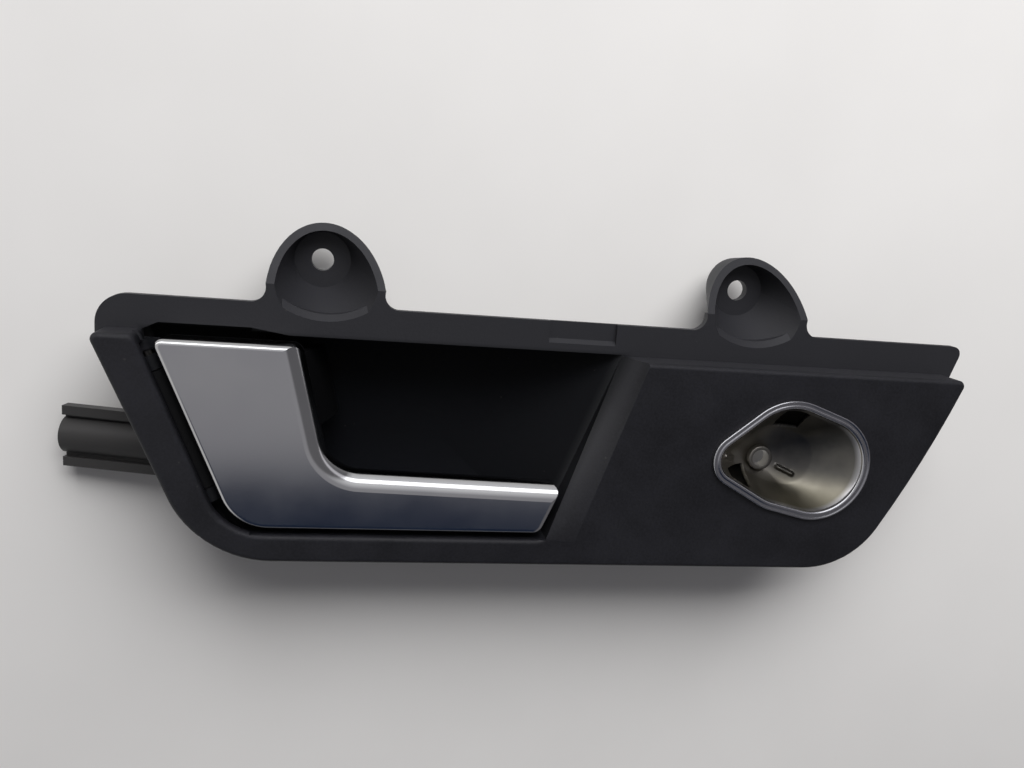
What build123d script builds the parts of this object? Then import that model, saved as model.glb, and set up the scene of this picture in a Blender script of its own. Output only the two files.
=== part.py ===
from build123d import *
import os
from math import cos, hypot, radians, sin, tan

# Car interior door handle, as fixed in a door: X to the right seen from the cabin, Y into the door, Z up.
# The origin lies midway between the two screw holes, on the floor that the screw heads press on.
# Depths are measured from the panel's front face into the door.

# Screw ears
screw_spacing = 125.0
screw_hole_d = 6.2
seat_depth = 23.0
seat_floor = 3.0
seat_r = 7.8
ear_rim_r = 13.8
ear_side = 1.9
ear_drop = 4.6
ear_wall = 2.2
ear_rim_start_z = -6.3
ear_rim_tilt = 26.9
ear_root_r = 4.0
ear_sill = 1.7
ear_sill_r = 22.0
ear_sill_z = -15.6

# Front panel
panel_left = -118.8
panel_right = 130.3
panel_top = -20.4
panel_foot = 7.8
panel_left_lean = 24.1
panel_right_lean = 25.4
panel_right_bow = 1.9
panel_right_parts = 6
panel_left_corner_r = 30.0
panel_right_corner_r = 26.0
panel_tip_r = 1.8
panel_edge_r = 1.3
wall = 2.5
skirt_depth = 12.0

# Top flange
flange_depth = 10.0
flange_top = -11.4
flange_left = -119.2
flange_right = 134.0
flange_left_r = 8.0
flange_right_r = 2.5
flange_right_lean = 17.0
flange_overlap = 3.5
notch_left = 1.9
notch_width = 19.8
notch_height = 5.0
notch_sink = 1.2

# Finger pocket
pocket_top = -20.0
pocket_left = -78.0
pocket_right = 24.0
pocket_depth = 30.0
pocket_wall_lean = 20.0
pocket_sweep = 38.0
pocket_bevel_top = 5.6
pocket_bevel_foot = 8.4
bevel_foot_depth = 0.8
pocket_ramp_top = -52.0
pocket_ramp_end = 11.5
pocket_corner_r = 5.0
bay_top = -18.4
bay_step_left = -80.0
bay_step_right = -70.0
bay_corner_r = 2.0
bay_gap_slant = 4.0
bay_foot_r = 16.5
left_wall_front = 24.6

# Floor and hood behind the lever's bay
bay_floor_depth = 10.7
bay_floor_reach = 9.0
bay_floor_rise = 8.0
hook_room = 2.0
bay_hood_depth = 19.0
bay_hood_left = -116.0
bay_hood_top = -16.4
bay_hood_bottom = -25.5

# Lever
lever_left = -103.7
lever_top = -21.2
lever_bottom = -72.0
lever_lean = 22.9
plate_right = -66.0
plate_inner_lean = 13.9
inner_corner_r = 11.0
lever_corner_r = 13.5
bar_end_x = 8.5
bar_end_top = -57.2
bar_droop = 1.7
bar_end_lean = 21.7
bar_end_r = 3.2
plate_tip_r = 2.0
plate_inner_tip_r = 4.0
plate_depth = 8.0
bar_depth = 8.5
lever_edge_r = 1.5
grip_edge_r = 5.0
grip_back_r = 3.4
lever_wall = 2.4
lever_skin = 2.4
lever_left_rim = 4.2
side_gap = 3.3
bottom_gap = 1.8

# Hinge, parallel to the lever's left edge
hinge_inset = 3.3
hinge_depth = 6.2
hinge_top_z = -26.5
pin_r = 1.25
pin_fit = 0.05
pin_head_r = 2.6
pin_head_h = 1.2
lug_r = 2.8
lug_length = 4.0
barrel_r = 3.4
barrel_gap = 0.3
upper_barrel = 11.8
spring_room = 6.4
lower_barrel = 15.8

# Return spring
spring_wire = 0.8
spring_wire_sides = 8
spring_turns = 4.5
spring_pitch = 0.95
spring_r = 2.2
spring_leg = 6.3
spring_leg_turn = 288.0
spring_prong = 4.0
prong_fit = 0.15
spring_room_r = 2.85
spring_hood = 1.2

# Lever arm
arm_fit = 0.25
arm_plug_depth = 5.0
arm_lid = 2.0
arm_gap = 0.3
arm_wall = 2.2
arm_wall_depth = 24.0
arm_wall_slant = 4.5
web_front = 1.7
web_reach = 9.0
hook_reach = 14.3
hook_thick = 5.0
hook_width = 5.0
hook_end = 3.6
nipple_d = 4.6
wire_slit = 1.8
arm_screw_d = 2.9
arm_screw_head_d = 5.4
arm_screw_head_h = 1.8
arm_screw_tip = 2.9
arm_screw_places = ((-88.0, -33.0), (-69.0, -62.0))
arm_boss_d = 6.0
arm_screw_fit = 0.05
arm_screw_hole_fit = 0.25
arm_rib_z = (-30.0, -43.0)
arm_rib_depth = 17.0
arm_rib_left = -84.0
arm_wall_top = 3.0

# Rest buffer
buffer_x = -71.5
buffer_z = -36.0
buffer_d = 7.0
buffer_h = 4.0
buffer_stem_d = 3.6
buffer_stem = 3.0
buffer_seat = 4.6
buffer_boss_d = 9.4
buffer_gap = 0.3

# Lock cup
cup_rounds = ((60.0, -47.4, 8.3), (75.5, -45.8, 17.1), (85.2, -48.6, 16.6))
cup_focus = (71.9, -49.6)
cup_rim = 2.4
cup_rim_proud = 1.3
cup_lip = 1.4
cup_fit = 0.3
cup_wall = 1.4
cup_depth = 12.0
cup_collar_d = 7.6
cup_collar_h = 2.2
cup_hole_d = 5.2
cup_windows = (((72.4, 81.6), (-37.8, -33.0)), ((59.4, 66.6), (-55.7, -51.0)))
cup_window_depth = 3.0
cup_ribs = ((59.6, -48.4, -25.0), (80.5, -53.3, -22.0))
cup_rib_size = (6.6, 1.0)
cup_rib_depth = (6.5, 8.5)
cup_edge_r = 0.8
cup_hook = 1.0
cup_hook_h = 1.5
cup_hook_width = 7.0
cup_skirt = 1.2
collar_depth = 9.0
collar_wall = 2.0

# Cable channel
channel_z = -55.5
channel_turn = 13.5
channel_r = 5.5
channel_wall = 1.8
channel_half = 8.9
channel_web = 1.4
rail_height = 3.2
rail_width = 2.7
channel_left = -132.3
bracket_depth = 26.0
bracket_half = 11.0
wire_hole_d = 3.4

# Ribs behind the panel
rib = 1.8
rib_depth = 10.0
rib_x = (38.0, 108.0)

pocket_bottom = lever_bottom - bottom_gap
panel_bottom = pocket_bottom - panel_foot
panel_height = panel_top - panel_bottom
buffer_back = pocket_depth - buffer_seat
lid_front = plate_depth + arm_gap
lid_back = lid_front + arm_lid
ear_run = seat_depth - flange_depth
cut = 200.0
LOW = (Align.CENTER, Align.CENTER, Align.MIN)


def place(depth):
    """Plane facing the cabin at a depth behind the panel's face, drawn on with X to the right and Z up."""
    return Plane((0, depth - seat_depth, 0), x_dir=(1, 0, 0), z_dir=(0, -1, 0))


def slab(sketch, near, far):
    """A sketch in X and Z made solid between two depths."""
    return extrude(place(near) * sketch, amount=near - far)


def block(x, z, depth):
    """Box between two values each of X, Z and depth."""
    size = (x[1] - x[0], depth[1] - depth[0], z[1] - z[0])
    return Pos(x[0], depth[0] - seat_depth, z[0]) * Box(*size, align=(Align.MIN, Align.MIN, Align.MIN))


def post(x, z, diameter, near, far):
    """Round post along Y between two depths."""
    return slab(Pos(x, z) * Circle(diameter / 2), near, far)


def outline(points, radii):
    """Closed outline with a rounding at each corner."""
    return make_face(FilletPolyline(points, radius=radii, close=True))


# Front panel: a shell with a skirt, its right edge slightly bowed
def panel_outline():
    left_foot = (panel_left + panel_height * tan(radians(panel_left_lean)), panel_bottom)
    right_foot = (panel_right - panel_height * tan(radians(panel_right_lean)), panel_bottom)
    top_left = (panel_left, panel_top)
    top_right = (panel_right, panel_top)
    bow = SagittaArc(top_right, right_foot, panel_right_bow)
    rim = Line(top_left, top_right)
    for part in range(panel_right_parts):
        rim = rim + bow.trim(part / panel_right_parts, (part + 1) / panel_right_parts)
    rim = rim + Line(right_foot, left_foot) + Line(left_foot, top_left)
    face = make_face(rim)
    corners = face.vertices()
    face = fillet(corners.filter_by_position(Axis.Y, panel_top - 1, panel_top + 1), panel_tip_r)
    foot = face.vertices().filter_by_position(Axis.Y, panel_bottom - 0.1, panel_bottom + 0.1).sort_by(Axis.X)
    face = fillet(foot[:1], panel_left_corner_r)
    foot = face.vertices().filter_by_position(Axis.Y, panel_bottom - 0.1, panel_bottom + 0.1).sort_by(Axis.X)
    return fillet(foot[-1:], panel_right_corner_r)


def lever_edge_x(z):
    """X of the lever's left edge at a height."""
    return lever_left + (lever_top - z) * tan(radians(lever_lean))


def inner_edge_x(z):
    """X of the lever plate's inner edge at a height."""
    return plate_right + (lever_top - z) * tan(radians(plate_inner_lean))


def bar_top_z(x):
    """Height of the finger bar's upper edge."""
    return bar_end_top + (bar_end_x - x) * tan(radians(bar_droop))


# The plate's inner edge meets the bar's upper edge here
corner_z = bar_top_z(inner_edge_x(bar_end_top))
inner_corner = (inner_edge_x(corner_z), bar_top_z(inner_edge_x(corner_z)))
bar_foot_x = bar_end_x - (bar_end_top - lever_bottom) * tan(radians(bar_end_lean))

lever_points = [(lever_left, lever_top), (plate_right, lever_top), inner_corner, (bar_end_x, bar_end_top),
                (bar_foot_x, lever_bottom), (lever_edge_x(lever_bottom), lever_bottom)]
lever_radii = [plate_tip_r, plate_inner_tip_r, inner_corner_r, bar_end_r, bar_end_r, lever_corner_r]
plate_points = [(lever_left, lever_top), (plate_right, lever_top), (inner_edge_x(lever_bottom), lever_bottom),
                (lever_edge_x(lever_bottom), lever_bottom)]
plate_radii = [plate_tip_r, plate_inner_tip_r, plate_tip_r, lever_corner_r]


# Hinge frame: x across the lever plate, y to the cabin, z down along the pin
lean = radians(lever_lean)
hinge_x = lever_edge_x(hinge_top_z) - hinge_inset / cos(lean)
hinge_origin = Vector(hinge_x, hinge_depth - seat_depth, hinge_top_z)
hinge = Plane(hinge_origin, x_dir=(cos(lean), 0, sin(lean)), z_dir=(sin(lean), 0, -cos(lean)))
upper_start = lug_length + barrel_gap
spring_start = upper_start + upper_barrel
lower_start = spring_start + spring_room
lower_lug = lower_start + lower_barrel + barrel_gap
pin_length = lower_lug + lug_length


def hinge_box(x, y, z):
    """Box between two values of each of the hinge frame's axes."""
    size = (x[1] - x[0], y[1] - y[0], z[1] - z[0])
    return hinge * Pos(x[0], y[0], z[0]) * Box(*size, align=(Align.MIN, Align.MIN, Align.MIN))


def hinge_round(radius, start, length):
    """Cylinder on the hinge axis."""
    return hinge * Pos(0, 0, start) * Cylinder(radius, length, align=(Align.CENTER, Align.CENTER, Align.MIN))


# Cable: it runs from the arm's hook to the left, turned a little into the door
hook_z = (hinge_origin.Z - channel_z) / cos(lean)
hook_x = hinge_origin.X + hook_z * sin(lean)
hook_depth = hinge_depth + hook_reach
turn = radians(channel_turn)
channel_run = (hook_x - channel_left) / cos(turn)
channel = Plane((hook_x, hook_depth - seat_depth, channel_z), x_dir=(-sin(turn), -cos(turn), 0),
                z_dir=(-cos(turn), sin(turn), 0))


# Finger pocket: a scoop along X, met by the slanted right wall
def pocket_form(grow):
    crest = (pocket_depth, pocket_ramp_top)
    foot = (pocket_ramp_end, pocket_bottom)
    ramp = Polyline((0, pocket_bottom), (0, pocket_top), (pocket_depth, pocket_top), crest)
    ramp = ramp + TangentArc(crest, foot, tangent=(0, -1)) + Line(foot, (0, pocket_bottom))
    scoop = offset(make_face(ramp), grow, kind=Kind.INTERSECTION)
    side = Plane((pocket_left - grow, -seat_depth, 0), x_dir=(0, 1, 0), z_dir=(1, 0, 0))
    scoop = extrude(side * scoop, amount=pocket_right - pocket_left + pocket_sweep)
    sweep_x = pocket_right - pocket_sweep
    plan = Line((pocket_left, 0), (pocket_left, pocket_depth))
    plan = plan + Line((pocket_left, pocket_depth), (sweep_x, pocket_depth))
    plan = plan + TangentArc((sweep_x, pocket_depth), (pocket_right, flange_depth), tangent=(1, 0))
    plan = plan + Line((pocket_right, flange_depth), (pocket_right, 0))
    plan = plan + Line((pocket_right, 0), (pocket_left, 0))
    plan = offset(make_face(plan), grow, kind=Kind.INTERSECTION)
    rise = pocket_corner_r
    slant = tan(radians(pocket_wall_lean))
    top = Plane((rise * slant, -seat_depth, panel_top + rise), x_dir=(1, 0, 0), z_dir=(0, 0, 1))
    drop = panel_height + 2 * rise
    wall_form = extrude(top * plan, amount=hypot(drop, drop * slant), dir=(-slant, 0, -1))
    return scoop & wall_form


def pocket_bevel(thick):
    """Twisted bevel between the panel's face and the pocket's right wall, or its backing of a thickness."""
    ends = []
    upper = (panel_top, pocket_bevel_top, flange_depth)
    lower = (pocket_bottom, pocket_bevel_foot, bevel_foot_depth)
    for z, width, depth in (upper, lower):
        x = pocket_right - (panel_top - z) * tan(radians(pocket_wall_lean))
        points = [(x, 0), (x + width, 0), (x, depth)]
        if thick:
            edge = x + width + thick
            points = [(x, 0), (edge, 0), (edge, thick), (x + thick, depth + thick), (x, depth + thick)]
        level = Plane((0, -seat_depth, z), x_dir=(1, 0, 0), z_dir=(0, 0, 1))
        ends.append(level * make_face(Polyline(*points, close=True)))
    return loft(ends, ruled=True)


def bay_outline():
    """Outline of the lever's bay in the panel, open at the panel's top."""
    left = lever_edge_x(panel_top) - side_gap / cos(lean)
    foot = lever_edge_x(pocket_bottom) - side_gap / cos(lean)
    right_foot = pocket_right - (panel_top - pocket_bottom) * tan(radians(pocket_wall_lean))
    above = panel_top + 2 * bay_corner_r
    aside = left - 2 * bay_corner_r
    points = [(left, panel_top), (aside, panel_top), (aside, above), (pocket_right, above),
              (pocket_right, panel_top), (right_foot, pocket_bottom), (foot, pocket_bottom)]
    return outline(points, [bay_corner_r, 0, 0, 0, 0, pocket_corner_r, bay_foot_r])


def flange_outline():
    """Flange strip with the roots of the two ears."""
    foot = panel_top - flange_overlap
    right_foot = flange_right - (flange_top - foot) * tan(radians(flange_right_lean))
    points = [(flange_left, flange_top), (flange_right, flange_top), (right_foot, foot), (flange_left, foot)]
    strip = outline(points, [flange_left_r, flange_right_r, 0, 0])
    for side in (-1, 1):
        strip = strip + Pos(side * screw_spacing / 2 + ear_side, -ear_drop) * Circle(ear_rim_r + ear_wall)
    span = screw_spacing / 2 + ear_side + ear_rim_r + ear_wall
    roots = strip.vertices().filter_by_position(Axis.Y, flange_top - 0.1, flange_top + 0.1)
    strip = fillet(roots.filter_by_position(Axis.X, -span, span), ear_root_r)
    return strip - Pos(0, ear_rim_start_z + cut) * Rectangle(4 * cut, 2 * cut)


def ear_form(x, grow, back):
    """Slanting cone of a screw ear, from behind its seat to the wide end on the flange."""
    reach = back / ear_run
    seat = Pos(x - ear_side * reach, ear_drop * reach) * Circle(seat_r + grow - (ear_rim_r - seat_r) * reach)
    mouth = Pos(x + ear_side, -ear_drop) * Circle(ear_rim_r + grow)
    return loft([place(seat_depth + back) * seat, place(flange_depth) * mouth])


def bay_gap():
    """Opening under the flange that the lever's plate swings through."""
    left = lever_edge_x(panel_top) - side_gap / cos(lean)
    foot = panel_top - flange_overlap - 1
    points = [(left, foot), (left, panel_top), (left + bay_gap_slant, bay_top), (bay_step_left, bay_top),
              (bay_step_right, pocket_top), (bay_step_right, foot)]
    return outline(points, [0, 0, 0, 0, 0, 0])


def channel_profile():
    """Half-tube with a rail along each side, open at the back; drawn with the front to +x."""
    front = Pos(channel_r, 0) * Rectangle(2 * channel_r, 4 * channel_r)
    profile = Circle(channel_r) & front
    profile = profile + Pos(channel_web / 2, 0) * Rectangle(channel_web, 2 * channel_half)
    for side in (-1, 1):
        rail_middle = side * (channel_half - rail_width / 2)
        profile = profile + Pos(rail_height / 2, rail_middle) * Rectangle(rail_height, rail_width)
    return profile - Circle(channel_r - channel_wall)


# Housing: panel, flange, ears, pocket, hinge lugs and cable channel in one moulding
def build_housing():
    panel = panel_outline()
    body = slab(panel - bay_outline(), 0, skirt_depth)
    body = fillet(body.faces().sort_by(Axis.Y)[0].edges(), panel_edge_r)
    body = body - slab(offset(panel, -wall), wall, skirt_depth + 1)
    body = body + slab(flange_outline(), flange_depth, flange_depth + wall)

    bowl = pocket_form(wall) - block((-cut, cut), (panel_top, cut), (-cut, flange_depth))
    bowl = bowl + (pocket_bevel(wall) & slab(panel, wall / 2, cut))
    body = body + (bowl - block((-cut, cut), (-cut, cut), (-cut, wall / 2)))

    ears = [side * screw_spacing / 2 for side in (-1, 1)]
    for x in ears:
        body = body + ear_form(x, ear_wall, seat_floor)
    for x in ears:
        middle = Pos(x + ear_side, ear_sill_z + ear_sill_r)
        throat = middle * Circle(ear_sill_r - ear_sill)
        mouth = middle * Circle(ear_sill_r)
        sill = loft([place(flange_depth + ear_sill) * throat, place(flange_depth) * mouth])
        sill = sill + slab(throat, flange_depth + ear_sill, seat_depth)
        body = body - (ear_form(x, 0, 0) & sill)
        body = body - post(x, 0, screw_hole_d, seat_depth - 1, cut)
    tilt = radians(ear_rim_tilt)
    rim_plane = Plane((0, flange_depth - seat_depth, ear_rim_start_z), x_dir=(1, 0, 0),
                      z_dir=(0, -cos(tilt), sin(tilt)))
    rim_cut = rim_plane * Box(2 * cut, 2 * cut, cut, align=LOW)
    body = body - (rim_cut & block((-cut, cut), (ear_rim_start_z, cut), (-cut, cut)))

    body = body - pocket_form(0) - slab(bay_outline(), -1, flange_depth) - pocket_bevel(0)
    body = body - slab(bay_gap(), flange_depth - 1, flange_depth + wall + 1)
    left_wall_x = (pocket_left - 2 * wall, pocket_left)
    body = body - block(left_wall_x, (pocket_bottom, pocket_top), (wall, left_wall_front))
    ledge = flange_top - notch_height
    notch = [(flange_depth - 1, ledge - notch_sink), (flange_depth, ledge - notch_sink),
             (flange_depth + notch_sink, ledge), (flange_depth + notch_sink, 0), (flange_depth - 1, 0)]
    side = Plane((notch_left, -seat_depth, 0), x_dir=(0, 1, 0), z_dir=(1, 0, 0))
    body = body - extrude(side * make_face(Polyline(*notch, close=True)), amount=notch_width)

    hood_x = (bay_hood_left, pocket_left - wall / 2)
    body = body + block(hood_x, (bay_hood_bottom, bay_hood_top), (bay_hood_depth, bay_hood_depth + rib))
    hood_depth = (flange_depth + rib, bay_hood_depth + rib)
    body = body + block(hood_x, (bay_top, bay_hood_top), hood_depth)
    body = body + block((bay_hood_left, bay_hood_left + rib), (bay_hood_bottom, bay_hood_top), hood_depth)
    floor_depth = (bay_floor_depth, bay_floor_depth + rib)
    floor = block((-cut, pocket_left + wall), (-cut, panel_top - wall), floor_depth)
    floor = floor & slab(offset(panel, -wall / 2), -1, cut)
    floor = floor & hinge_box((-cut, bay_floor_reach), (-cut, cut), (-bay_floor_rise, cut))
    window_z = (hook_z - hook_thick / 2 - hook_room, hook_z + hook_thick / 2 + hook_room)
    body = body + (floor - hinge_box((-hook_width / 2 - hook_room, cut), (-cut, cut), window_z))

    cable_wall = slab(panel - offset(panel, -wall), skirt_depth - 1, bracket_depth)
    bracket_z = (channel_z - bracket_half, channel_z + bracket_half)
    body = body + (cable_wall & block((-cut, pocket_left - wall), bracket_z, (-cut, cut)))
    stub = extrude(channel * channel_profile(), amount=channel_run)
    body = body + (stub - slab(offset(panel, -wall / 2), -1, cut))
    body = body - channel * Cylinder(wire_hole_d / 2, channel_run / 2, align=LOW)

    for start in (0, lower_lug):
        lug = hinge_box((-cut, 0), (-lug_r, cut), (start, start + lug_length))
        lug = lug + hinge_round(lug_r, start, lug_length)
        body = body + (lug & slab(panel, wall / 2, skirt_depth))
    body = body - hinge_round(pin_r + pin_fit, -cut / 10, cut / 2)

    body = body + post(buffer_x, buffer_z, buffer_boss_d, buffer_back, pocket_depth + 1)
    body = body - post(buffer_x, buffer_z, buffer_stem_d, buffer_back - 1, buffer_back + buffer_stem)
    body = body + slab(cup_egg(cup_lip - collar_wall), wall / 2, collar_depth)
    for x in rib_x:
        span = (panel_bottom + wall / 2, panel_top - wall / 2)
        stiffener = block((x - rib / 2, x + rib / 2), span, (wall / 2, rib_depth))
        body = body + (stiffener & slab(panel, wall / 2, skirt_depth))
    return body - slab(cup_egg(cup_lip), -1, cut)


# Lever: one chrome-plated casting, a tray behind the plate and a solid finger bar
def build_lever():
    body = slab(outline(lever_points, lever_radii), 0, bar_depth)
    body = fillet(body.faces().sort_by(Axis.Y)[0].edges(), lever_edge_r)
    body = body - block((-cut, inner_edge_x(lever_bottom)), (-cut, cut), (plate_depth, cut))
    start = (inner_edge_x(lever_top + grip_edge_r), lever_top + grip_edge_r)
    end = (bar_end_x + grip_edge_r, bar_top_z(bar_end_x + grip_edge_r))
    for depth, radius, inward in ((0, grip_edge_r, 1), (bar_depth, grip_back_r, -1)):
        path = place(depth) * FilletPolyline(start, inner_corner, end, radius=inner_corner_r)
        section = Rectangle(radius + 1, radius + 1, align=(Align.MIN, Align.MIN))
        section = Pos(-1, -radius) * section - Pos(radius, -radius) * Circle(radius)
        if inward < 0:
            section = mirror(section, about=Plane.YZ)
        section = Plane(path @ 0, x_dir=(0, 1, 0), z_dir=path % 0) * section
        body = body - sweep(section, path=path)
    plate = outline(plate_points, plate_radii)
    body = body - slab(offset(plate, -lever_wall), lever_skin, cut)
    rim_end = hinge_inset + lever_wall + arm_fit
    body = body - hinge_box((-cut, rim_end), (-cut, hinge_depth - lever_left_rim), (-cut, cut))
    pilot_d = arm_screw_d + 2 * arm_screw_fit
    for x, z in arm_screw_places:
        body = body + post(x, z, arm_boss_d, lever_skin / 2, arm_plug_depth)
        body = body - post(x, z, pilot_d, arm_screw_tip - arm_gap, arm_plug_depth + 1)
    return body


# Lever arm: a lid in the lever's tray, with the hinge barrels, a deep side wall and the cable hook
def build_arm():
    plate = outline(plate_points, plate_radii)
    body = slab(offset(plate, -lever_wall - arm_fit), arm_plug_depth, lid_back)
    body = body + slab(offset(plate, -arm_gap), lid_front, lid_back)
    rim_end = hinge_inset + lever_wall + 2 * arm_fit
    body = body - hinge_box((-cut, rim_end), (-cut, cut), (-cut, cut))
    top = lever_top - arm_wall_top
    foot = inner_corner[1] + inner_corner_r
    upper_x = inner_edge_x(top) - arm_gap
    lower_x = inner_edge_x(foot) - arm_gap
    strip = [(upper_x, top), (lower_x, foot), (lower_x - arm_wall, foot), (upper_x - arm_wall, top)]
    side_wall = make_face(Polyline(*strip, close=True))
    wall_run = arm_wall_depth - lid_front
    body = body + extrude(place(lid_front) * side_wall, amount=hypot(wall_run, arm_wall_slant),
                          dir=(arm_wall_slant, wall_run, 0))
    for z in arm_rib_z:
        reach = (arm_rib_left, inner_edge_x(z) - arm_wall)
        body = body + block(reach, (z - rib / 2, z + rib / 2), (lid_front, arm_rib_depth))
    lid_y = hinge_depth - lid_back
    for start, length in ((upper_start, upper_barrel), (lower_start, lower_barrel)):
        body = body + hinge_round(barrel_r, start, length)
        body = body + hinge_box((0, web_reach), (lid_y, web_front), (start, start + length))
    hood = hinge_round(barrel_r, spring_start, spring_room) - hinge_round(spring_room_r, 0, cut)
    body = body + (hood & hinge_box((-cut, cut), (-spring_hood, cut), (0, cut)))
    hook = hinge_box((-hook_width / 2, hook_width / 2), (-hook_reach - hook_end, 0),
                     (hook_z - hook_thick / 2, hook_z + hook_thick / 2))
    eye = hinge * Pos(0, -hook_reach, hook_z) * Cylinder(nipple_d / 2, 2 * hook_thick)
    slit = hinge_box((-cut, 0), (-hook_reach - wire_slit / 2, -hook_reach + wire_slit / 2), (0, cut))
    body = body + (hook - eye - slit)
    body = body - hinge_round(pin_r + pin_fit, -cut / 10, cut / 2)
    prong_hole = Cylinder(spring_wire / 2 + prong_fit, spring_prong + prong_fit + 1, align=LOW)
    prong_turn = spring_leg_turn + 360 * spring_turns
    body = body - hinge * Rot(0, 0, prong_turn) * Pos(spring_r, 0, lower_start - 1) * prong_hole
    body = body + post(buffer_x, buffer_z, buffer_d, lid_front, buffer_back - buffer_h - buffer_gap)
    for x, z in arm_screw_places:
        body = body - post(x, z, arm_screw_d + 2 * arm_screw_hole_fit, 0, cut)
    return body


# Two screws from behind through the arm into the lever's bosses
def build_arm_screws():
    screws = []
    for x, z in arm_screw_places:
        head = post(x, z, arm_screw_head_d, lid_back, lid_back + arm_screw_head_h)
        head = chamfer(head.faces().sort_by(Axis.Y)[-1].edges(), arm_screw_head_h / 3)
        screws.append(head + post(x, z, arm_screw_d, arm_screw_tip, lid_back))
    return Compound(children=screws)


# Hinge pin with a flat head on the upper lug
def build_pin():
    pin = hinge_round(pin_r, 0, pin_length) + hinge_round(pin_head_r, -pin_head_h, pin_head_h)
    return pin


# Torsion spring in eight-sided wire: a leg that lies on the bay's floor, and a prong in the lower barrel
def build_spring():
    height = spring_turns * spring_pitch
    start = spring_start + (spring_room - height) / 2
    coil = Helix(spring_pitch, height, spring_r)
    wire = RegularPolygon(spring_wire / 2, spring_wire_sides)
    body = sweep(Plane(coil @ 0, z_dir=coil % 0) * wire, path=coil, is_frenet=True)
    body = body + extrude(Plane(coil @ 0, z_dir=coil % 0 * -1) * wire, amount=spring_leg)
    elbow = Plane(coil @ 1, z_dir=coil % 1)
    body = body + elbow * Box(spring_wire, spring_wire, spring_wire)
    length = spring_start + spring_room - start - height + spring_prong
    body = body + extrude(Plane(coil @ 1, x_dir=coil % 1, z_dir=(0, 0, 1)) * wire, amount=length)
    return hinge * Pos(0, 0, start) * Rot(0, 0, spring_leg_turn) * body


# Rubber buffer pressed into the boss on the pocket's floor
def build_buffer():
    head = post(buffer_x, buffer_z, buffer_d, buffer_back - buffer_h, buffer_back)
    head = chamfer(head.faces().sort_by(Axis.Y)[0].edges(), buffer_h / 4)
    return head + post(buffer_x, buffer_z, buffer_stem_d, buffer_back, buffer_back + buffer_stem)


def cup_egg(inset, pull=0.0):
    """Egg-shaped outline round three circles, moved in by an inset and drawn towards the hole."""
    x, z = cup_focus
    rounds = [Edge.make_circle(r - inset, Plane((cx - x, cz - z, 0))) for cx, cz, r in cup_rounds]
    return Pos(x, z) * scale(make_hull(rounds), by=1 - pull)


def cup_bowl(inset, deeper, plain):
    """Dished form from the rim down to the flat floor round the hole, smooth or plain between its levels."""
    levels = ((-cup_rim_proud - 1, 0.0), (cup_depth / 2 + deeper / 2, 0.25), (cup_depth + deeper, 0.62))
    return loft([place(depth) * cup_egg(inset, pull) for depth, pull in levels], ruled=plain)


# Lock cup: rim, dished bowl with a collared hole, and a skirt with snap hooks
def build_cup():
    rim = slab(cup_egg(0), -cup_rim_proud, 0)
    rim = fillet(rim.faces().sort_by(Axis.Y)[0].edges(), cup_edge_r)
    skirt_inset = cup_lip + cup_fit
    skirt = slab(cup_egg(skirt_inset), 0, collar_depth + cup_fit + cup_hook_h)
    skirt = skirt - slab(cup_egg(skirt_inset + cup_skirt), 0, cut)
    hooks = slab(cup_egg(skirt_inset - cup_hook), collar_depth + cup_fit, collar_depth + cup_fit + cup_hook_h)
    hooks = hooks - slab(cup_egg(skirt_inset + cup_skirt), 0, cut)
    middle = cup_rounds[1][0]
    places = block((middle, middle + cup_hook_width), (-cut, cut), (0, cut))
    body = rim + skirt + (hooks & places)
    behind = block((-cut, cut), (-cut, cut), (-cup_rim_proud / 2, cut))
    form = cup_bowl(cup_rim - cup_wall, cup_wall, True) & behind
    body = body + form - cup_bowl(cup_rim, 0, False)
    for window_x, window_z in cup_windows:
        body = body - block(window_x, window_z, (cup_window_depth, cup_depth))
    for (x, z, turn_deg), top in zip(cup_ribs, cup_rib_depth):
        body = body + (slab(Pos(x, z) * Rot(0, 0, turn_deg) * Rectangle(*cup_rib_size), top, cut) & form)
    x, z = cup_focus
    body = body + post(x, z, cup_collar_d, cup_depth - cup_collar_h, cup_depth + cup_wall)
    return body - post(x, z, cup_hole_d, -cut, cut)


nodes = {
    "housing": build_housing(),
    "handle_lever": build_lever(),
    "lever_arm": build_arm(),
    "arm_screws": build_arm_screws(),
    "hinge_pin": build_pin(),
    "return_spring": build_spring(),
    "rest_buffer": build_buffer(),
    "lock_cup": build_cup(),
}
os.makedirs("parts", exist_ok=True)
for name, shape in nodes.items():
    export_step(shape, f"parts/{name}.step")
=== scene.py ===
import bmesh
import bpy
import numpy as np
from mathutils import Matrix, Vector


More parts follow.
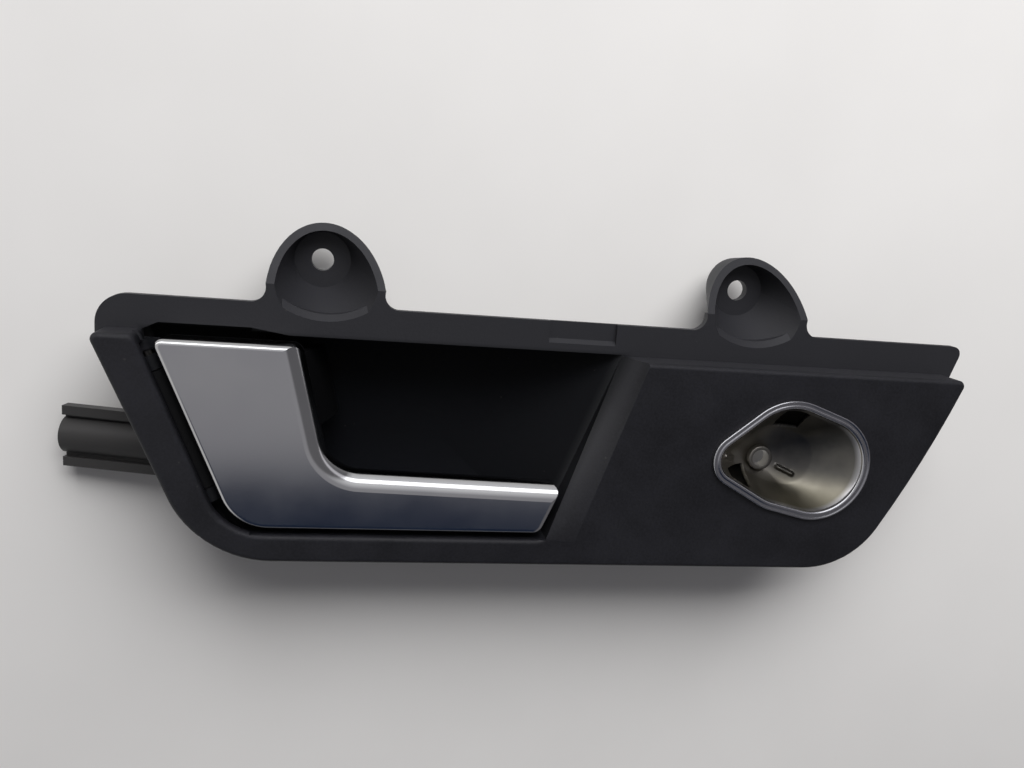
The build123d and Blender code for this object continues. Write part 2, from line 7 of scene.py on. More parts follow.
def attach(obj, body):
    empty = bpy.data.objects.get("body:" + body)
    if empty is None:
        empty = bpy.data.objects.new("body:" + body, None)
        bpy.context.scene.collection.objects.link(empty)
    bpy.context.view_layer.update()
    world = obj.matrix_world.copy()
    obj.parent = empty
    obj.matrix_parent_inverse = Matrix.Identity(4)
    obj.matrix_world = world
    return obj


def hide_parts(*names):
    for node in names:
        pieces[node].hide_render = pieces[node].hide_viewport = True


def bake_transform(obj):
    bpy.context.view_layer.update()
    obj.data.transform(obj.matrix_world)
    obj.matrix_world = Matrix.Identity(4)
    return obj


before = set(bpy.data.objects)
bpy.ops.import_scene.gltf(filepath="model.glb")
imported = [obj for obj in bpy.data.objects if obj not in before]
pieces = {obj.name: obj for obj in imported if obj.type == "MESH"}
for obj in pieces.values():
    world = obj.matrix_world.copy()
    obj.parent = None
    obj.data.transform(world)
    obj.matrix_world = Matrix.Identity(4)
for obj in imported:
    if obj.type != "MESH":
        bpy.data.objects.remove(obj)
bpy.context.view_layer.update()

# Housing: one injection moulding in black ABS, with the front panel, the finger pocket, the flange, the ears and
# the cable stub. The panel's face was spark-eroded in the tool; flange, ears and stub are as plain steel left them.

panel_y = -0.023
noise_low, noise_high = 0.3, 0.7

# Where one finish or the painted shade gives way to the next, from and to: along Y, along Z,
# and square to the two slanted sides.
panel_edge = (-0.0222, -0.0195)
pocket_wall = (-0.0135, -0.0105)
pocket_back = (0.0088, 0.0074)
bay_top = (-0.0190, -0.0206)
left_square = (0.9212, 0.0, 0.3891)
bay_left = (-0.1082, -0.1070)
stub_root = (-0.1165, -0.1200)
right_square = (0.9272, 0.0, -0.3746)
pocket_right = (0.0325, 0.0305)


def linear(hex_colour):
    """A colour written as sRGB hex, as linear red, green, blue and alpha."""
    srgb = np.array([int(hex_colour[i:i + 2], 16) for i in (1, 3, 5)]) / 255
    return (*np.where(srgb > 0.04045, ((srgb + 0.055) / 1.055) ** 2.4, srgb / 12.92), 1.0)


def node(tree, kind, inputs=None, stops=(), **settings):
    """Adds a shader node with its settings. An input is a value, or another node's output to link, and stops are a
    colour ramp's places and hex colours. MapRange goes from input 1 to input 2, and gives 0 to 1 or inputs 3 to 4."""
    made = tree.nodes.new("ShaderNode" + kind)
    for key, value in settings.items():
        setattr(made, key, value)
    for key, value in (inputs or {}).items():
        if isinstance(value, bpy.types.NodeSocket):
            tree.links.new(value, made.inputs[key])
        else:
            made.inputs[key].default_value = value
    for k, (position, hex_colour) in enumerate(stops):
        stop = made.color_ramp.elements[k] if k < 2 else made.color_ramp.elements.new(position)
        stop.position = position
        stop.color = linear(hex_colour)
    return made


def material(name):
    """An empty node material, and its tree."""
    made = bpy.data.materials.new(name)
    made.use_nodes = True
    made.node_tree.nodes.clear()
    return made, made.node_tree


def per_mm(size):
    """Texture scale for a pattern whose cells are this many millimetres wide."""
    return 1000 / size


def dress(piece, finish):
    """Gives a piece one finish all over."""
    piece.data.materials.clear()
    piece.data.materials.append(finish)


# Moulded ABS from a spark-eroded tool looks soft and matt, with an even grain, slow clouds of shine and faint lint.
# The real grain is finer than the render shows, so it is drawn 0.75 mm wide. The plain faces are greyer. The bay and
# the inside of the pocket are painted nearly black as painted shade, and the deep pocket is also made fully rough.
black_abs, tree = material("grained_black_abs")
place = node(tree, "TexCoord").outputs["Object"]
axes = node(tree, "SeparateXYZ", {0: place})
leftward = node(tree, "VectorMath", {0: place, 1: left_square}, operation="DOT_PRODUCT")
rightward = node(tree, "VectorMath", {0: place, 1: right_square}, operation="DOT_PRODUCT")
behind = node(tree, "MapRange", {"Value": axes.outputs["Y"], 1: panel_edge[0], 2: panel_edge[1]})
deep = node(tree, "MapRange", {"Value": axes.outputs["Y"], 1: pocket_wall[0], 2: pocket_wall[1]})
lining = node(tree, "MapRange", {"Value": axes.outputs["Y"], 1: pocket_back[0], 2: pocket_back[1]})
below = node(tree, "MapRange", {"Value": axes.outputs["Z"], 1: bay_top[0], 2: bay_top[1]})
bay = node(tree, "MapRange", {"Value": leftward.outputs["Value"], 1: bay_left[0], 2: bay_left[1]})
stub = node(tree, "MapRange", {"Value": leftward.outputs["Value"], 1: stub_root[0], 2: stub_root[1]})
beside = node(tree, "MapRange", {"Value": rightward.outputs["Value"], 1: pocket_right[0], 2: pocket_right[1]})
# The zone of painted shade: below the bay's top, between the bay's left edge and the pocket's right side, and in
# front of the pocket's back.
framed = node(tree, "Math", {0: bay.outputs[0], 1: below.outputs[0]}, operation="MULTIPLY")
faced = node(tree, "Math", {0: beside.outputs[0], 1: lining.outputs[0]}, operation="MULTIPLY")
painted_shade_zone = node(tree, "Math", {0: framed.outputs[0], 1: faced.outputs[0]}, operation="MULTIPLY")
unpolished = node(tree, "Math", {0: deep.outputs[0], 1: painted_shade_zone.outputs[0]}, operation="MULTIPLY")
grain = node(tree, "TexVoronoi", {"Vector": place, "Scale": per_mm(0.75)}, feature="SMOOTH_F1")
cloud = node(tree, "TexNoise", {"Vector": place, "Scale": per_mm(14), "Detail": 4.0, "Roughness": 0.6})
grit = node(tree, "TexNoise", {"Vector": place, "Scale": per_mm(0.7), "Detail": 2.0})
mixed = node(tree, "MixRGB", {"Fac": 0.5, "Color1": cloud.outputs["Fac"], "Color2": grit.outputs["Fac"]})
grained = node(tree, "ValToRGB", {"Fac": mixed.outputs[0]}, stops=((0.36, "#0f0f12"), (0.64, "#1c1c20")))
plain = node(tree, "MixRGB", {"Fac": stub.outputs[0], "Color1": linear("#242427"), "Color2": linear("#302f2f")})
# Painted shade: surfaces in the bay and the pocket take a near-black colour where little light gets in.
plain_or_painted_shade = node(tree, "MixRGB", {"Fac": painted_shade_zone.outputs[0], "Color1": plain.outputs[0], "Color2": linear("#08090c")})
base = node(tree, "MixRGB", {"Fac": behind.outputs[0], "Color1": grained.outputs["Color"],
                             "Color2": plain_or_painted_shade.outputs[0]})
lint = node(tree, "TexVoronoi", {"Vector": place, "Scale": per_mm(9)})
speck = node(tree, "MapRange", {"Value": lint.outputs["Distance"], 1: 0.02, 2: 0.045, 3: 0.12, 4: 0.0})
colour = node(tree, "MixRGB", {"Fac": speck.outputs[0], "Color1": base.outputs[0], "Color2": linear("#6d6a66")})
sheen = node(tree, "MapRange", {"Value": cloud.outputs["Fac"], 1: noise_low, 2: noise_high, 3: 0.5, 4: 0.6})
rough = node(tree, "MixRGB", {"Fac": unpolished.outputs[0], "Color1": sheen.outputs[0],
                              "Color2": (1.0, 1.0, 1.0, 1.0)})
relief = node(tree, "Bump", {"Strength": 0.3, "Distance": 0.00008, "Height": grain.outputs["Distance"]})
skin = node(tree, "BsdfPrincipled", {"Base Color": colour.outputs[0], "Roughness": rough.outputs[0], "IOR": 1.5,
                                     "Specular IOR Level": 0.38, "Normal": relief.outputs[0]})
node(tree, "OutputMaterial", {"Surface": skin.outputs[0]})
dress(pieces["housing"], black_abs)

# Hinge pin: a length of steel wire, ground to size and given an upset head. It is pushed down through the
# housing's lugs and the arm's barrels.

# Ground steel is a dark, close-grained grey with a soft sheen.
pin_steel, tree = material("ground_steel")
place = node(tree, "TexCoord").outputs["Object"]
lines = node(tree, "TexNoise", {"Vector": place, "Scale": per_mm(0.5), "Detail": 2.0})
tone = node(tree, "ValToRGB", {"Fac": lines.outputs["Fac"]},
            stops=((noise_low, "#373635"), (noise_high, "#434240")))
polish = node(tree, "MapRange", {"Value": lines.outputs["Fac"], 1: noise_low, 2: noise_high, 3: 0.22, 4: 0.36})
skin = node(tree, "BsdfPrincipled", {"Base Color": tone.outputs["Color"], "Metallic": 1.0,
                                     "Roughness": polish.outputs[0]})
node(tree, "OutputMaterial", {"Surface": skin.outputs[0]})
dress(pieces["hinge_pin"], pin_steel)

# Return spring: drawn spring-steel wire, wound cold round the pin between the two barrels. Its leg lies on the
# bay's floor and its prong stands in the lower barrel, so the coil winds up as the lever opens.

spring_wire_r = 0.0004
spring_r = 0.0022
spring_pitch = 0.00095
spring_turns = 4.5
spring_leg = 0.0063
spring_prong = 0.00506
spring_elbow_r = 0.0006
spring_start = 0.0171625
spring_leg_turn = np.radians(288.0)
spring_tip = 0.3 * spring_wire_r
spring_sides = 14
coil_rows, straight_rows, elbow_rows = 260, 24, 9
straight_share = 0.95
end_swell, next_swell = 0.55, 0.88
hinge_lean = np.radians(22.9)
hinge_origin = np.array((-0.10504353, -0.0168, -0.0265))
hinge_axes = np.array(((np.cos(hinge_lean), 0.0, np.sin(hinge_lean)), (0.0, -1.0, 0.0),
                       (np.sin(hinge_lean), 0.0, -np.cos(hinge_lean))))


def ring_faces(rings, sides, closed=False):
    """Four-sided faces between each ring of points and the next, and from the last to the first where closed."""
    ring, turn = np.meshgrid(np.arange(rings if closed else rings - 1), np.arange(sides), indexing="ij")
    corners = [(ring + a) % rings * sides + (turn + b) % sides for a, b in ((0, 0), (0, 1), (1, 1), (1, 0))]
    return np.stack(corners, axis=-1).reshape(-1, 4)


def tube(path, across, radius, sides):
    """A round wire: at each point of the path, a circle in the plane of the across vector and its cross product
    with the path's direction; the first and last rings shrink to a rounded end. Gives points and faces."""
    along = np.gradient(path, axis=0)
    along /= np.linalg.norm(along, axis=1, keepdims=True)
    other = np.cross(along, across)
    around = np.linspace(0, 2 * np.pi, sides, endpoint=False)[None, :, None]
    swell = np.ones(len(path))
    swell[[0, -1]] = end_swell
    swell[[1, -2]] = next_swell
    ring = np.cos(around) * across[:, None, :] + np.sin(around) * other[:, None, :]
    points = path[:, None, :] + radius * swell[:, None, None] * ring
    last = (len(path) - 1) * sides
    ends = [list(range(sides - 1, -1, -1)), list(range(last, last + sides))]
    return points.reshape(-1, 3), ring_faces(len(path), sides).tolist() + ends


def made_piece(name, points, faces, finish):
    """A smooth mesh object at the origin from points and faces, with one finish."""
    mesh = bpy.data.meshes.new(name)
    mesh.from_pydata(points.tolist(), [], faces)
    mesh.polygons.foreach_set("use_smooth", np.full(len(mesh.polygons), True))
    piece = bpy.data.objects.new(name, mesh)
    bpy.context.collection.objects.link(piece)
    dress(piece, finish)
    return piece


def spring_path():
    """Leg, helix, elbow and prong end to end: a line along the helix's first tangent, the helix itself, a quarter
    turn of the elbow's radius from the tangent to the axis, and a line along the axis. Gives the path's points and
    the helix's outward direction at each."""
    last = 2 * np.pi * spring_turns - spring_elbow_r / spring_r
    angle = np.linspace(0, last, coil_rows)
    climb = spring_pitch / (2 * np.pi)
    helix = np.stack((spring_r * np.cos(angle), spring_r * np.sin(angle), climb * angle), axis=1)
    first = np.array((0.0, spring_r, climb)) / np.hypot(spring_r, climb)
    back_off = np.concatenate(([spring_leg, spring_leg - spring_tip],
                               np.linspace(spring_leg * straight_share, 0, straight_rows)[:-1]))
    leg = helix[0] - back_off[:, None] * first
    bend = np.linspace(0, np.pi / 2, elbow_rows)[1:]
    heading = np.array((-np.sin(last), np.cos(last), 0.0))
    upward = np.array((0.0, 0.0, 1.0))
    turned = np.sin(bend)[:, None] * heading + (1 - np.cos(bend))[:, None] * upward
    elbow = helix[-1] + spring_elbow_r * turned
    rise = np.concatenate((np.linspace(0, spring_prong * straight_share, straight_rows)[1:],
                           [spring_prong - spring_tip, spring_prong]))
    prong = elbow[-1] + (rise - spring_elbow_r * rise / spring_prong)[:, None] * upward
    held = np.concatenate((np.zeros(len(leg)), angle, np.full(len(elbow) + len(prong), last)))
    across = np.stack((np.cos(held), np.sin(held), np.zeros(len(held))), axis=1)
    return np.concatenate((leg, helix, elbow, prong)), across


path, across = spring_path()
wound = np.array(((np.cos(spring_leg_turn), np.sin(spring_leg_turn), 0.0),
                  (-np.sin(spring_leg_turn), np.cos(spring_leg_turn), 0.0), (0.0, 0.0, 1.0))) @ hinge_axes
path = (path + (0.0, 0.0, spring_start)) @ wound + hinge_origin
spring_points, spring_faces = tube(path, across @ wound, spring_wire_r, spring_sides)

# Drawn spring steel is a dull brownish grey, lighter in small streaks where the die has rubbed it.
wire_steel, tree = material("drawn_spring_steel")
place = node(tree, "TexCoord").outputs["Object"]
draw = node(tree, "TexNoise", {"Vector": place, "Scale": per_mm(0.4), "Detail": 3.0})
tone = node(tree, "ValToRGB", {"Fac": draw.outputs["Fac"]},
            stops=((noise_low, "#4a4846"), (noise_high, "#6c6a67")))
skin = node(tree, "BsdfPrincipled", {"Base Color": tone.outputs["Color"], "Metallic": 1.0, "Roughness": 0.34})
node(tree, "OutputMaterial", {"Surface": skin.outputs[0]})
spring = made_piece("wound_spring", spring_points, spring_faces, wire_steel)
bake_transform(spring)
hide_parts("return_spring")

# Lever arm: a black glass-filled nylon moulding that plugs into the back of the lever. It has the hinge barrels,
# the deep side wall seen beside the lever, the stop foot and the hook for the cable's end.

# Glass-filled nylon is a dull black, faintly mottled and uneven where its fibres lie near the skin.
nylon, tree = material("glass_filled_nylon")
place = node(tree, "TexCoord").outputs["Object"]
fibre = node(tree, "TexNoise", {"Vector": place, "Scale": per_mm(0.9), "Detail": 5.0, "Roughness": 0.7})
tone = node(tree, "ValToRGB", {"Fac": fibre.outputs["Fac"]}, stops=((0.35, "#050506"), (0.75, "#0a0a0b")))
relief = node(tree, "Bump", {"Strength": 0.12, "Distance": 0.00005, "Height": fibre.outputs["Fac"]})
skin = node(tree, "BsdfPrincipled", {"Base Color": tone.outputs["Color"], "Roughness": 0.55,
                                     "Specular IOR Level": 0.2, "Normal": relief.outputs[0]})
node(tree, "OutputMaterial", {"Surface": skin.outputs[0]})
dress(pieces["lever_arm"], nylon)

# Lever: a zinc die casting, an L-shaped plate and finger bar with generously rounded edges. It is blasted, satin
# chromed and screwed to the arm from behind.

# Satin chrome mirrors the room softly, a little clouded by handling. The blast's marks are finer than the render
# shows, so they are drawn 0.35 mm wide.
satin_chrome, tree = material("satin_chrome")
place = node(tree, "TexCoord").outputs["Object"]
blast = node(tree, "TexNoise", {"Vector": place, "Scale": per_mm(0.35), "Detail": 2.0})
smear = node(tree, "TexNoise", {"Vector": place, "Scale": per_mm(25), "Detail": 5.0, "Roughness": 0.55})
tone = node(tree, "ValToRGB", {"Fac": smear.outputs["Fac"]},
            stops=((noise_low, "#c0c0c2"), (noise_high, "#cccccc")))
polish = node(tree, "MapRange", {"Value": smear.outputs["Fac"], 1: noise_low, 2: noise_high, 3: 0.1, 4: 0.15})
relief = node(tree, "Bump", {"Strength": 0.05, "Distance": 0.00002, "Height": blast.outputs["Fac"]})
skin = node(tree, "BsdfPrincipled", {"Base Color": tone.outputs["Color"], "Metallic": 1.0,
                                     "Roughness": polish.outputs[0], "Normal": relief.outputs[0]})
node(tree, "OutputMaterial", {"Surface": skin.outputs[0]})
dress(pieces["handle_lever"], satin_chrome)

# Rest buffer: a stud of moulded rubber that the arm comes to rest on. Its stem is pressed into the boss on the
# pocket's floor.

# Moulded rubber is matt and nearly black, with a greyish bloom in patches.
rubber, tree = material("moulded_rubber")
place = node(tree, "TexCoord").outputs["Object"]
bloom = node(tree, "TexNoise", {"Vector": place, "Scale": per_mm(1.2), "Detail": 4.0})
tone = node(tree, "ValToRGB", {"Fac": bloom.outputs["Fac"]}, stops=((0.0, "#121212"), (1.0, "#1d1c1c")))
skin = node(tree, "BsdfPrincipled", {"Base Color": tone.outputs["Color"], "Roughness": 0.8})
node(tree, "OutputMaterial", {"Surface": skin.outputs[0]})
dress(pieces["rest_buffer"], rubber)

# Arm screws: two small pan-head screws of zinc-plated steel with a cross recess. They are driven from behind
# through the arm into the lever's bosses.

screw_places = ((-0.088, -0.033), (-0.069, -0.062))
screw_shank_r = 0.00145
screw_head_r = 0.0027
screw_tip_y = -0.0201
screw_tip_bevel = 0.0006
screw_seat_y = -0.0127
screw_top_y = -0.0109
recess_reach = 0.0016
recess_half = 0.00042
recess_depth = 0.0011
crown_rows, screw_sides = 34, 96
merge_distance = 1e-7


def pan_head_screw(x, z):
    """A profile of radius and depth turned about the screw's axis; on the head's crown the depth is then lowered
    where the smaller of the two cross distances is under half the recess's width, fading out at its reach."""
    head = screw_top_y - screw_seat_y
    crown = np.linspace(1.0, 0.0, crown_rows) ** 0.8
    radius = np.concatenate((np.array((0.0, 0.6, 1.0, 1.0)) * screw_shank_r,
                             np.array((1.0, 0.985, 0.94)) * screw_head_r, 0.9 * screw_head_r * crown))
    depth = np.concatenate(((screw_tip_y, screw_tip_y, screw_tip_y + screw_tip_bevel, screw_seat_y),
                            screw_seat_y + np.array((0.0, 0.3, 0.55)) * head,
                            screw_top_y - 0.4 * head * crown ** 2.2))
    around = np.linspace(0, 2 * np.pi, screw_sides, endpoint=False)
    side_x = radius[:, None] * np.cos(around)
    side_z = radius[:, None] * np.sin(around)
    slot = np.clip((recess_half * 1.35 - np.minimum(abs(side_x), abs(side_z))) / (recess_half * 0.35), 0, 1)
    reach = np.clip((recess_reach - radius) / (recess_reach * 0.22), 0, 1)[:, None]
    on_crown = (np.arange(len(radius)) >= len(radius) - crown_rows)[:, None]
    y = depth[:, None] - recess_depth * slot * reach * on_crown
    points = np.stack((x + side_x, y, z + side_z), axis=-1)
    return points.reshape(-1, 3), ring_faces(len(radius), screw_sides)


screws = [pan_head_screw(x, z) for x, z in screw_places]
screw_points = np.concatenate([points for points, faces in screws])
screw_faces = np.concatenate([faces + k * len(points) for k, (points, faces) in enumerate(screws)])

# Passivated zinc is a soft bluish grey, with a cloudy spangle.
zinc, tree = material("passivated_zinc")
place = node(tree, "TexCoord").outputs["Object"]
spangle = node(tree, "TexNoise", {"Vector": place, "Scale": per_mm(0.8), "Detail": 3.0})
tone = node(tree, "ValToRGB", {"Fac": spangle.outputs["Fac"]},
            stops=((noise_low, "#8b8f94"), (noise_high, "#b1b3b4")))
polish = node(tree, "MapRange", {"Value": spangle.outputs["Fac"], 1: noise_low, 2: noise_high, 3: 0.26, 4: 0.4})
skin = node(tree, "BsdfPrincipled", {"Base Color": tone.outputs["Color"], "Metallic": 1.0,
                                     "Roughness": polish.outputs[0]})
node(tree, "OutputMaterial", {"Surface": skin.outputs[0]})
arm_screws = made_piece("pan_head_screws", screw_points, screw_faces.tolist(), zinc)
merged = bmesh.new()
merged.from_mesh(arm_screws.data)
bmesh.ops.remove_doubles(merged, verts=merged.verts, dist=merge_distance)
bmesh.ops.recalc_face_normals(merged, faces=merged.faces)
merged.to_mesh(arm_screws.data)
merged.free()
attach(arm_screws, "lever")
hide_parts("arm_screws")

# Lock cup: an injection-moulded plastic cup, vacuum metallised, snapped into the panel by two hooks on its skirt.
# It has a doubly beaded rim, an egg-shaped dished bowl, a collared hole, two ribs and two blind windows.

# The egg is the hull of three circles, each a centre and a radius, and its rows are carried round a focus.
cup_rounds = np.array(((0.0600, -0.0474, 0.0083), (0.0755, -0.0458, 0.0171), (0.0852, -0.0486, 0.0166)))
cup_focus = np.array((0.0719, -0.0496))
cup_columns = 320
egg_normals = 2880
least_lean = 0.05
cup_sharp = np.radians(50)

# Depths run from the panel's face into the door. A bead is an inset, a depth, a radius, two angles and a count.
rim_foot = ((0.0, 0.0), (0.0, -0.0004))
outer_bead = (0.0004, -0.0009, 0.0004, 0, 130, 12)
inner_bead = (0.00175, -0.0005, 0.00075, 50, 180, 14)
bowl_inset = 0.0025
bowl_lip = -0.0005
bowl_depth = 0.0125
bowl_rows = 72
bowl_end = 0.8
bowl_curve = 1.9
round_from = 0.4
round_curve = 1.4
back_inset = 0.0011
back_rows = slice(None, 10, -4)
cup_wall = 0.0014

# The collar's rows are a radius and a depth, the skirt's an inset and a depth.
collar_r = 0.0038
cup_hole_r = 0.0026
collar_rows = ((collar_r, 0.0117), (collar_r, 0.0101), (0.00372, 0.0099), (0.0035, 0.0098), (0.00285, 0.0098),
               (0.00266, 0.00986), (cup_hole_r, 0.0101), (cup_hole_r, 0.0134), (collar_r, 0.0134))
skirt_rows = ((0.0029, 0.0036), (0.0029, 0.0108), (0.0017, 0.0108), (0.0007, 0.0108), (0.0007, 0.0094),
              (0.0017, 0.0093), (0.0017, 0.0))
hook_rows = slice(-4, -2)
hook_span = (0.0755, 0.0825)

# A window is left, right, low and high; a rib is its middle, its turn in degrees and the depth of its top.
window_boxes = ((0.0736, 0.0806, -0.0388, -0.0300), (0.0590, 0.0664, -0.0562, -0.0515))
window_from = 0.0010
window_recess = 0.0007
rib_lines = ((0.0598, -0.0486, -25.0, 0.0036), (0.0805, -0.0533, -22.0, 0.0086))
rib_half = (0.0033, 0.0009)
rib_fade = 0.001
rib_height = 0.0013


def egg_radius(inset):
    """Distance from the focus to the egg's edge in each direction: the least, over all normals, of the support of
    the three circles' hull, less the inset, divided by the cosine between normal and direction."""
    normal = np.linspace(0, 2 * np.pi, egg_normals, endpoint=False)
    facing = np.stack((np.cos(normal), np.sin(normal)))
    support = ((cup_rounds[:, :2] - cup_focus) @ facing + cup_rounds[:, 2:]).max(axis=0)
    way = np.linspace(0, 2 * np.pi, cup_columns, endpoint=False)
    lean = np.cos(normal[None, :] - way[:, None])
    return np.where(lean > least_lean, (support - inset) / np.maximum(lean, least_lean), 1.0).min(axis=1)


def bead(inset, depth, radius, first, last, count):
    """Rows of inset and depth round part of a circle, from one angle to another in degrees."""
    angle = np.radians(np.linspace(first, last, count))
    return np.stack((inset - radius * np.cos(angle), depth - radius * np.sin(angle)), axis=1)


def cup_surface():
    """Rows carried round the egg: rim rows by inset and depth; bowl rows, drawn from the egg to the collar's circle
    by a pull p, at a depth of one less (1 - p / end) to the bowl's power; then collar, back and skirt. Ribs lift the
    bowl by the cosine of the distance from their line, and windows push it back. Gives points and a window mask."""
    rim = np.concatenate((rim_foot, bead(*outer_bead), bead(*inner_bead)))
    pull = np.linspace(0, bowl_end, bowl_rows)[1:]
    circle = np.clip((pull - round_from) / (bowl_end - round_from), 0, 1) ** round_curve
    shrink = ((1 - pull) * (1 - circle))[:, None]
    fall = bowl_lip + bowl_depth * (1 - (1 - pull / bowl_end) ** bowl_curve)
    front = egg_radius(bowl_inset) * shrink + collar_r * circle[:, None]
    back = egg_radius(back_inset) * shrink + collar_r * circle[:, None]
    level = np.ones(cup_columns)
    spread = np.concatenate(([egg_radius(inset) for inset, d in rim], front, [r * level for r, d in collar_rows],
                             back[back_rows], [egg_radius(inset) for inset, d in skirt_rows]))
    depth = np.concatenate((rim[:, 1], fall, [d for r, d in collar_rows], fall[back_rows] + cup_wall,
                            [d for inset, d in skirt_rows]))[:, None] * level
    bowl = slice(len(rim), len(rim) + len(pull))
    way = np.linspace(0, 2 * np.pi, cup_columns, endpoint=False)
    skirt_x = spread[-1] * np.cos(way) + cup_focus[0]
    hooked = (skirt_x > hook_span[0]) & (skirt_x < hook_span[1])
    spread[hook_rows] = np.where(hooked, spread[hook_rows], spread[-1])
    x = cup_focus[0] + spread * np.cos(way)
    z = cup_focus[1] + spread * np.sin(way)
    window = np.zeros_like(x)
    for left, right, low, high in window_boxes:
        window[bowl] += ((x > left) & (x < right) & (z > low) & (z < high) & (depth > window_from))[bowl]
    for centre_x, centre_z, turn, top in rib_lines:
        c, s = np.cos(np.radians(turn)), np.sin(np.radians(turn))
        along = abs((x - centre_x) * c + (z - centre_z) * s)
        beside = abs((z - centre_z) * c - (x - centre_x) * s)
        ridge = np.cos(np.pi / 2 * np.clip(beside / rib_half[1], 0, 1))
        ridge *= np.clip((rib_half[0] - along) / rib_fade, 0, 1)
        lift = np.clip(depth - top, 0, rib_height) * ridge
        depth[bowl] -= lift[bowl]
    x += window_recess * window * np.cos(way)
    z += window_recess * window * np.sin(way)
    depth += window_recess * window
    return np.stack((x, panel_y + depth, z), axis=-1), window


cup_points, cup_window = cup_surface()
cup_faces = ring_faces(len(cup_points), cup_columns, closed=True)

# The metallised film mirrors softly: bright on the polished rim, a dull warm grey in the bowl where the lacquer
# has yellowed in clouds, with painted light making the bowl paler towards its left, and painted shade making the
# windows black, as no light reaches them.
rim_to_bowl = (-0.0236, -0.0220)
painted_light_span = (0.078, 0.062)
yellowed = (-0.052, -0.060)
rim_roughness = (0.24, 0.24, 0.24, 1.0)
metallised, tree = material("metallised_plastic")
place = node(tree, "TexCoord").outputs["Object"]
axes = node(tree, "SeparateXYZ", {0: place})
inside = node(tree, "MapRange", {"Value": axes.outputs["Y"], 1: rim_to_bowl[0], 2: rim_to_bowl[1]})
painted_light_side = node(tree, "MapRange", {"Value": axes.outputs["X"], 1: painted_light_span[0], 2: painted_light_span[1]})
aged = node(tree, "MapRange", {"Value": axes.outputs["Z"], 1: yellowed[0], 2: yellowed[1], 3: 0.0, 4: 0.4})
painted_window_shade = node(tree, "Attribute", attribute_name="window")
stain = node(tree, "TexNoise", {"Vector": place, "Scale": per_mm(12), "Detail": 3.0, "Roughness": 0.5})
tone = node(tree, "ValToRGB", {"Fac": stain.outputs["Fac"]}, stops=((0.35, "#545352"), (0.68, "#6b6965")))
# Painted light: towards its left the bowl's colour goes paler, to #a8a49c.
light = node(tree, "MixRGB", {"Fac": painted_light_side.outputs[0], "Color1": tone.outputs["Color"],
                              "Color2": linear("#a8a49c")})
warm = node(tree, "MixRGB", {"Fac": aged.outputs[0], "Color1": light.outputs[0], "Color2": linear("#a39c82")})
film = node(tree, "MixRGB", {"Fac": inside.outputs[0], "Color1": linear("#b3b3b7"), "Color2": warm.outputs[0]})
# Painted shade: the windows are coloured near-black, #0b0b0b.
colour = node(tree, "MixRGB", {"Fac": painted_window_shade.outputs["Fac"], "Color1": film.outputs[0],
                               "Color2": linear("#0b0b0b")})
ripple = node(tree, "TexNoise", {"Vector": place, "Scale": per_mm(4), "Detail": 3.0})
dull = node(tree, "MapRange", {"Value": ripple.outputs["Fac"], 1: noise_low, 2: noise_high, 3: 0.34, 4: 0.46})
polish = node(tree, "MixRGB", {"Fac": inside.outputs[0], "Color1": rim_roughness, "Color2": dull.outputs[0]})
skin = node(tree, "BsdfPrincipled", {"Base Color": colour.outputs[0], "Metallic": 1.0,
                                     "Roughness": polish.outputs[0]})
node(tree, "OutputMaterial", {"Surface": skin.outputs[0]})
cup = made_piece("metallised_cup", cup_points.reshape(-1, 3), cup_faces.tolist(), metallised)
cup.data.attributes.new("window", "FLOAT", "POINT").data.foreach_set("value", cup_window.ravel())
cup.data.set_sharp_from_angle(angle=cup_sharp)
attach(cup, "base")
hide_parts("lock_cup")

# Table: a pale laminate sheet that the handle lies on with its back, so it stands upright behind it here.
# It is seen from its front alone, and takes the handle's shadow.

table_y = 0.0098
table_half = 0.9
corners = np.array([(-table_half, table_y, -table_half), (table_half, table_y, -table_half),
                    (table_half, table_y, table_half), (-table_half, table_y, table_half)])
sheet = bpy.data.meshes.new("table")
sheet.from_pydata(corners.tolist(), [], [(0, 1, 2, 3)])
table = bpy.data.objects.new("table", sheet)
bpy.context.collection.objects.link(table)

# Matt laminate is an even off-white, very slightly mottled.
laminate, tree = material("pale_laminate")
place = node(tree, "TexCoord").outputs["Object"]
mottle = node(tree, "TexNoise", {"Vector": place, "Scale": per_mm(60), "Detail": 6.0})
tone = node(tree, "ValToRGB", {"Fac": mottle.outputs["Fac"]}, stops=((0.0, "#dcdad8"), (1.0, "#e6e4e2")))
matt = node(tree, "BsdfDiffuse", {"Color": tone.outputs["Color"]})
clear = node(tree, "BsdfTransparent")
ray = node(tree, "LightPath")
side = node(tree, "NewGeometry")
front = node(tree, "Math", {0: 1.0, 1: side.outputs["Backfacing"]}, operation="SUBTRACT")
seen = node(tree, "Math", {0: ray.outputs["Is Camera Ray"], 1: front.outputs[0]}, operation="MULTIPLY")
both = node(tree, "MixShader", {0: seen.outputs[0], 1: clear.outputs[0], 2: matt.outputs[0]})
node(tree, "OutputMaterial", {"Surface": both.outputs[0]})
dress(table, laminate)

# Light: a large soft window above, a fill behind the table for the handle's back, and a room that is bright above
# and dark below, seen in the metal alone. A strip of light above gives the metal's edges their highlights.

handle_middle = Vector((0.0, 0.0, -0.03))
strip_way = (0.0, -0.63, 0.77)
strip_edge = (0.965, 0.992)
strip_strength = 3.6
never_zero = 1.0001


